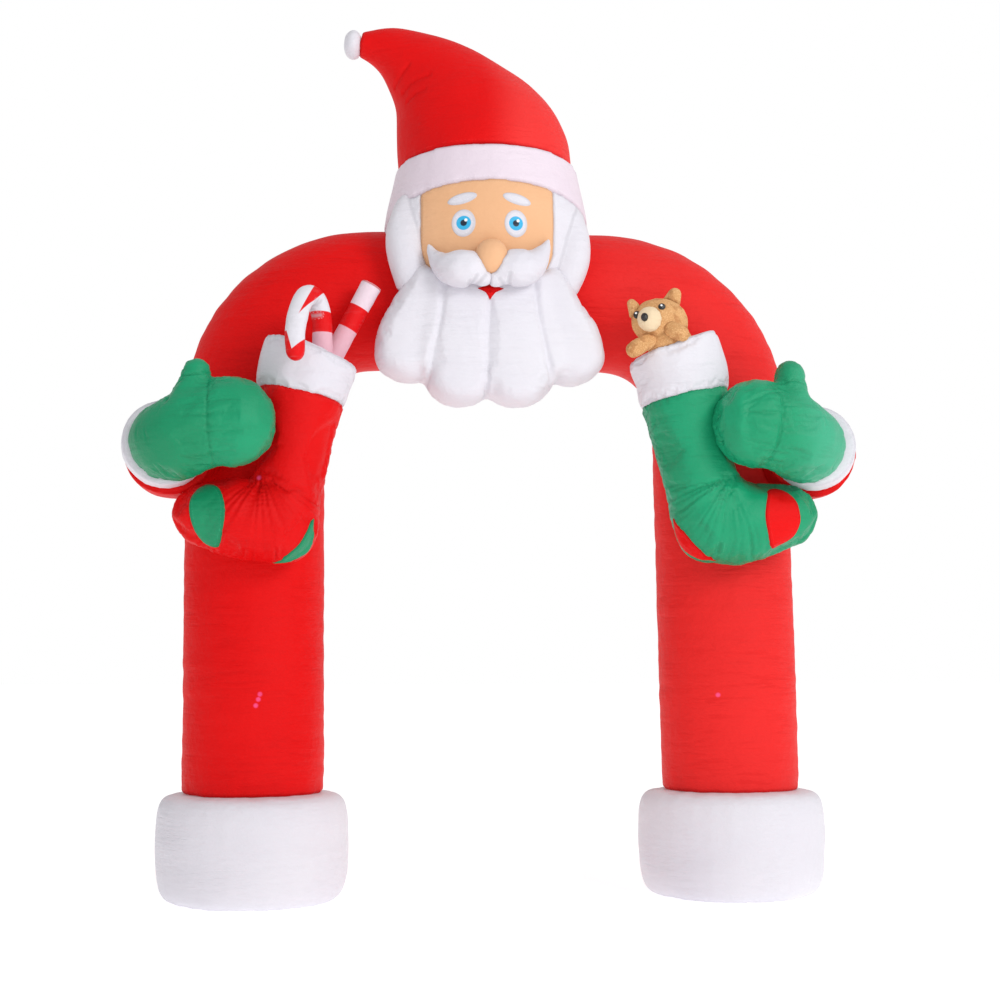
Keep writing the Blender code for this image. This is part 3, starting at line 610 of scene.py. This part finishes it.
for side in ("left", "right"):
    sleeve = sewn("sleeve_" + side, 0.007, red, rounds=50, grow=0.002)
    rumple(sleeve, 0.10, 0.004, seed=12.0)
    cuff = sewn("wrist_cuff_" + side, 0.006, white, rounds=40, grow=0.002)
    rumple(cuff, 0.08, 0.002, seed=13.0)
    mitten = sewn("mitten_" + side, 0.0050, mitten_green, rounds=45, grow=0.003, fold_in=170)
    cross = front_line(mitten, MITTEN_SEAMS[side])
    gather(mitten, cross, pleat=0.008, reach=0.030, pitch=0.015, groove=0.005, width=0.005, seed=14.0)
    thumb = front_line(mitten, THUMB_SEAMS[side])
    gather(mitten, thumb, pleat=0.003, reach=0.018, pitch=0.014, groove=0.004, width=0.005, seed=15.0)
    tacks = edge_tacks(mitten, seed=18.0)
    gather(mitten, tacks, pleat=0.004, reach=0.020, pitch=0.017, groove=0.003, width=0.008, seed=18.0)
    for x, z, depth in NOTCHES[side]:
        notch = bvh(mitten).find_nearest(Vector(arch(x, -0.52, z)))[0]
        gather(mitten, [notch], pleat=0.0, reach=0.01, pitch=0.02, groove=depth, width=0.012)
    rumple(mitten, 0.07, 0.004, seed=14.0)
    puffed(mitten, cross + tacks, slack=0.045)

# ---- The stockings ----
# One red and one green, each a leg and foot in one chamber, hung on the front of the arch's legs, with a white
# cuff and a toe and heel patch in the other colour.

TOES = {
    "left": ((-0.993, 1.357), (-0.957, 1.360), (-0.931, 1.337), (-0.916, 1.275), (-0.925, 1.208), (-0.940, 1.165),
             (-0.984, 1.180), (-1.014, 1.222), (-1.028, 1.276), (-1.022, 1.322)),
    "right": ((0.870, 1.366), (0.912, 1.367), (0.946, 1.339), (0.961, 1.282), (0.960, 1.249), (0.942, 1.212),
              (0.902, 1.187), (0.870, 1.175), (0.850, 1.219), (0.839, 1.273), (0.850, 1.330)),
}
HEELS = {
    "left": ((-0.634, -0.384, 1.256), (-0.757, -0.347, 1.115), 0.010, 0.052, (0.62, -0.62, -0.48)),
    "right": ((0.556, -0.340, 1.272), (0.693, -0.350, 1.132), 0.052, 0.012, (-0.62, -0.62, -0.48)),
}
BENDS = {"left": (-0.806, 1.400, 205.0, 340.0), "right": (0.728, 1.405, 185.0, 300.0)}


def fan(piece, x, z, start, end, count, reach, depth, seed, near):
    """Folds on the front that spread from a point, between two directions in degrees from +X towards +Z."""
    points, out = coordinates(piece), normals(piece)
    across, up = points[:, 0] - (x + ARCH_X), points[:, 2] - z
    far = np.hypot(across, up)
    turn = np.degrees(np.arctan2(up, across))
    share = ((turn - start) % 360.0) / ((end - start) % 360.0)
    steps = 400
    wave = np.array([noise.noise(Vector((seed, count * step / steps, 3.0))) for step in range(steps + 1)])
    length = np.array([noise.noise(Vector((seed + 5.0, count * step / steps, 9.0))) for step in range(steps + 1)])
    at = (np.clip(share, 0.0, 1.0) * steps).astype(int)
    inside = (share <= 1.0) * np.clip(np.minimum(share, 1.0 - share) * 6.0, 0.0, 1.0)
    run = reach * (1.0 + 0.9 * length[at])
    swell = np.clip(far / near, 0.0, 1.0) * np.exp(-((far / run) ** 2))
    fold = np.clip(1.0 - np.abs(wave[at]) * 3.5, 0.0, 1.0)
    strength = depth * inside * swell * fold * np.clip(-out[:, 1] * 2.0, 0.0, 1.0)
    reshape(piece, points - out * strength[:, None])


def petal(tip, end, left_bulge, right_bulge, corners=24):
    """The outline of a leaf from one tip to the other, with a bulge to each side of the line between them."""
    start, line = Vector(tip), Vector(end) - Vector(tip)
    side = Vector((line.y, -line.x)).normalized()
    shares = [corner / corners for corner in range(corners)]
    out = [start + line * t + side * left_bulge * math.sin(math.pi * t) for t in shares]
    back = [start + line * (1 - t) - side * right_bulge * math.sin(math.pi * t) for t in shares]
    return [tuple(corner) for corner in out + back]


def seen_from(aim, point):
    """Where a point lies, across and up, as seen by someone who looks against the direction."""
    across = Vector((0.0, 0.0, 1.0)).cross(aim).normalized()
    return across.dot(point), aim.cross(across).dot(point)


def smooth_loop(corners, steps=5):
    """A smooth closed line through its corners."""
    count, line = len(corners), []
    for index in range(count):
        a, b, c, d = (np.array(corners[(index + shift) % count]) for shift in (-1, 0, 1, 2))
        for step in range(steps):
            t = step / steps
            line.append(tuple(0.5 * (2 * b + (c - a) * t + (2 * a - 5 * b + 4 * c - d) * t * t
                                     + (3 * b - a - 3 * c + d) * t ** 3)))
    return line


red_stocking = taffeta("red_taffeta_stocking", RED, RED_SHADE, paint=lamp_glow, roughness=0.4, gloss=0.10, crease_shade=0.2)
for side, body_cloth, patch_cloth in (("left", red_stocking, green), ("right", green, red)):
    stocking = sewn("stocking_" + side, 0.006, body_cloth, rounds=60, grow=0.003, fold_in=70)
    rumple(stocking, 0.10, 0.004, seed=15.0)
    x, z, start, end = BENDS[side]
    fan(stocking, x, z, start, end, count=16, reach=0.15, depth=0.010, seed=31.0, near=0.05)
    fan(stocking, x, z, start, end, count=34, reach=0.10, depth=0.005, seed=33.0, near=0.03)
    gathered = front_line(stocking, ((x - 0.012, z - 0.010), (x, z), (x + 0.012, z - 0.010)))
    puffed(stocking, gathered + edge_tacks(stocking, seed=35.0), slack=0.05)
    toe = smooth_loop([(x + ARCH_X, z) for x, z in TOES[side]])
    laid_on("toe_patch_" + side, stocking, toe, patch_cloth, lift=0.0045, rings=16)
    first, last, near_bulge, far_bulge, aim = HEELS[side]
    aim = Vector(aim).normalized()
    tips = [seen_from(aim, Vector(arch(*tip))) for tip in (first, last)]
    laid_on("heel_patch_" + side, stocking, petal(*tips, near_bulge, far_bulge), patch_cloth, lift=0.0045, aim=aim)
    cuff = sewn("stocking_cuff_" + side, 0.006, white, rounds=30, grow=0.003)
    rumple(cuff, 0.08, 0.003, seed=16.0)
    rim = [point for point in sharp_points("stocking_cuff_" + side) if noise.noise(point / 0.022) > 0.0]
    puffed(cuff, rim, slack=0.05, cap=0.007)

# ---- The candy canes ----
# Two stuffed toys of white cloth with red and pink bands sewn in: one hooked over the left stocking's rim, one
# straight behind it.

RED_PAINT, PINK_PAINT, PALE_PAINT = rgb((0.66, 0.004, 0.006)), rgb((0.70, 0.40, 0.47)), rgb((0.74, 0.60, 0.67))


def side_of(x, z, start, end):
    """How far a place lies to the right of a line from one (x, z) to another, seen from the front."""
    run, rise = end[0] - start[0], end[1] - start[1]
    length = math.hypot(run, rise)
    return (x - (start[0] + ARCH_X)) * (rise / length) - (z - start[1]) * (run / length)


def hook_bands(wire, base, x, y, z):
    """A slanting red stripe over the hook's top, a red end under a white point, and a red band on the back leg."""
    front = y.below(ARCH_Y - 0.485, 0.004)
    stripe = 1.0 - side_of(x, z, (-0.687, 1.900), (-0.646, 1.993)).below(0.0, 0.001)
    stripe = stripe * side_of(x, z, (-0.688, 1.895), (-0.612, 1.986)).below(0.0, 0.001)
    low = (0.0 - side_of(x, z, (-0.711, 1.776), (-0.668, 1.812))).below(0.0, 0.001)
    edge = side_of(x, z, (-0.711, 1.776), (-0.728, 1.836)).below(0.0, 0.001) * z.below(1.836, 0.002)
    end = (1.0 - (1.0 - low) * (1.0 - edge)) * front
    back = z.below(1.930, 0.0015) * (1.0 - front)
    base = (stripe * (1.0 - back)).mixed(base, RED_PAINT)
    base = end.mixed(base, RED_PAINT)
    base = back.mixed(base, RED_PAINT)
    return (z.below(1.865, 0.0015) * (1.0 - front)).mixed(base, PINK_PAINT)


def stick_bands(wire, base, x, y, z):
    """A pink foot, a wide red band, a long pale band and a thin red line under the tip."""
    along = (x - (-0.557 + ARCH_X)) * 0.477 - (y - (-0.335 + ARCH_Y)) * 0.043 + (z - 1.833) * 0.878
    base = along.below(0.231, 0.0008).mixed(base, PALE_PAINT)
    base = (along.below(0.236, 0.0008) * (1.0 - along.below(0.231, 0.0008))).mixed(base, RED_PAINT)
    base = along.below(0.148, 0.0015).mixed(base, RED_PAINT)
    return along.below(0.067, 0.0015).mixed(base, PINK_PAINT)


for node, bands in (("candy_hook", hook_bands), ("candy_stick", stick_bands)):
    cane = taffeta(node + "_taffeta", WHITE, WHITE_SHADE, paint=bands)
    toy = sewn(node, 0.0035, cane, rounds=40, grow=0.0008)
    rumple(toy, 0.04, 0.0015, seed=17.0)

# ---- The bear ----
# A brown toy bear in the right stocking: a head and chest with round ears and paws, a cream muzzle, and black
# beads for its eyes and nose.

BROWN, BROWN_SHADE = (0.68, 0.38, 0.17), (0.44, 0.20, 0.07)
CREAM, CREAM_SHADE = (0.80, 0.66, 0.46), (0.66, 0.50, 0.32)
BLACK = (0.010, 0.009, 0.009)
PALE_TUFT, PILE_FOLD_SHADE, BEAD_LIGHT = rgb((0.74, 0.45, 0.22)), rgb((0.36, 0.14, 0.05)), (0.85, 0.85, 0.85, 1.0)


def nap(wire, base, x, y, z):
    """The short pile's lighter and darker tufts, and painted shade in patches where the pile folds."""
    place = wire.node("ShaderNodeTexCoord", output=3)
    tufts = wire.node("ShaderNodeTexNoise", None, {"Vector": place, "Scale": 210.0, "Detail": 3.0, "Roughness": 0.7})
    folds = wire.node("ShaderNodeTexNoise", None, {"Vector": place, "Scale": 34.0, "Detail": 2.0})
    base = (1.0 - tufts.below(0.56, 0.14)).mixed(base, PALE_TUFT)
    # Painted shade: darker patches where the pile lies in folds.
    return (folds.below(0.42, 0.06) * 0.5).mixed(base, PILE_FOLD_SHADE)


def bead_light(node):
    """A small white light spot on an eye bead, up and to its left."""
    low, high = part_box(node)
    spot_x, spot_z = (low[0] * 0.62 + high[0] * 0.38), (low[2] * 0.34 + high[2] * 0.66)

    def paint(wire, base, x, y, z):
        across, up = x - spot_x, z - spot_z
        return (across * across + up * up).below(0.000012, 0.000004).mixed(base, BEAD_LIGHT)
    return paint


brown = taffeta("brown_cloth", BROWN, BROWN_SHADE, paint=nap, roughness=0.7, gloss=0.05)
cream = taffeta("cream_cloth", CREAM, CREAM_SHADE, roughness=0.7, gloss=0.05)
black = taffeta("black_bead", BLACK, BLACK, roughness=0.15, gloss=0.5, painted_glow=0.0)
eyes = {
    side: taffeta("black_eye_bead_" + side, BLACK, BLACK, paint=bead_light("bear_eye_" + side), roughness=0.15,
                  gloss=0.5, painted_glow=0.5) for side in ("left", "right")
}
BEAR = {
    "bear_head": (0.0040, brown), "bear_ear_left": (0.0022, brown), "bear_ear_right": (0.0024, brown),
    "bear_paw_left": (0.0022, brown), "bear_paw_right": (0.0022, brown), "bear_muzzle": (0.0022, cream),
    "bear_nose": (0.0010, black), "bear_eye_left": (0.0010, eyes["left"]), "bear_eye_right": (0.0010, eyes["right"]),
}
for node, (voxel, finish) in BEAR.items():
    toy = sewn(node, voxel, finish, rounds=20, grow=0.0008)
    if finish is brown:
        rumple(toy, 0.020, 0.0015, seed=40.0)
        rumple(toy, 0.008, 0.0004, seed=41.0)

# ---- The studio ----
# A flat pale floor under a white sky, light from all round, a little stronger from the right, a large soft lamp from
# the front right and above, and the camera at the photograph's place.

floor_mesh = bpy.data.meshes.new("floor")
FAR = 60
floor_mesh.from_pydata([(-FAR, -FAR, 0), (FAR, -FAR, 0), (FAR, FAR, 0), (-FAR, FAR, 0)], [], [(0, 1, 2, 3)])
floor = bpy.data.objects.new("floor", floor_mesh)
bpy.context.scene.collection.objects.link(floor)
pale = bpy.data.materials.new("pale_floor")
pale.use_nodes = True
paper = pale.node_tree.nodes["Principled BSDF"]
for name, value in (
    ("Base Color", (0.90, 0.90, 0.90, 1.0)), ("Roughness", 0.9), ("Specular IOR Level", 0.0),
    ("Emission Color", (1.0, 1.0, 1.0, 1.0)), ("Emission Strength", 0.50),
):
    paper.inputs[name].default_value = value
floor_mesh.materials.append(pale)

world = bpy.data.worlds.new("studio")
bpy.context.scene.world = world
world.use_nodes = True
tree = world.node_tree
sky = Wire(tree)
across = sky.node("ShaderNodeSeparateXYZ", None, {0: sky.node("ShaderNodeTexCoord")})
seen = sky.node("ShaderNodeLightPath")
side_light = sky.node(
    "ShaderNodeMapRange", None, {"Value": across, "From Min": -1.0, "From Max": 1.0, "To Min": 0.53, "To Max": 0.78}
)
tree.links.new((seen + (1.0 - seen) * side_light).socket, tree.nodes["Background"].inputs["Strength"])
tree.nodes["Background"].inputs["Color"].default_value = (1.0, 1.0, 1.0, 1.0)
bpy.context.scene.view_settings.view_transform = "Standard"


light = bpy.data.lights.new("key", "AREA")
light.shape, light.size, light.energy = "DISK", 3.5, 250.0
lamp = bpy.data.objects.new("key", light)
lamp.location = (4.0, -6.5, 4.5)
lamp.rotation_euler = (Vector((0.0, 0.0, 1.4)) - lamp.location).to_track_quat("-Z", "Y").to_euler()
bpy.context.scene.collection.objects.link(lamp)

camera = bpy.data.objects.new("camera", bpy.data.cameras.new("camera"))
camera.data.lens, camera.data.sensor_width = 60.34, 36.0
camera.location = (-0.628, -5.657, 0.79)
camera.rotation_euler = (math.radians(95.6), 0.0, -math.radians(6.637))
camera.data.clip_end = 200.0
bpy.context.scene.collection.objects.link(camera)
bpy.context.scene.camera = camera
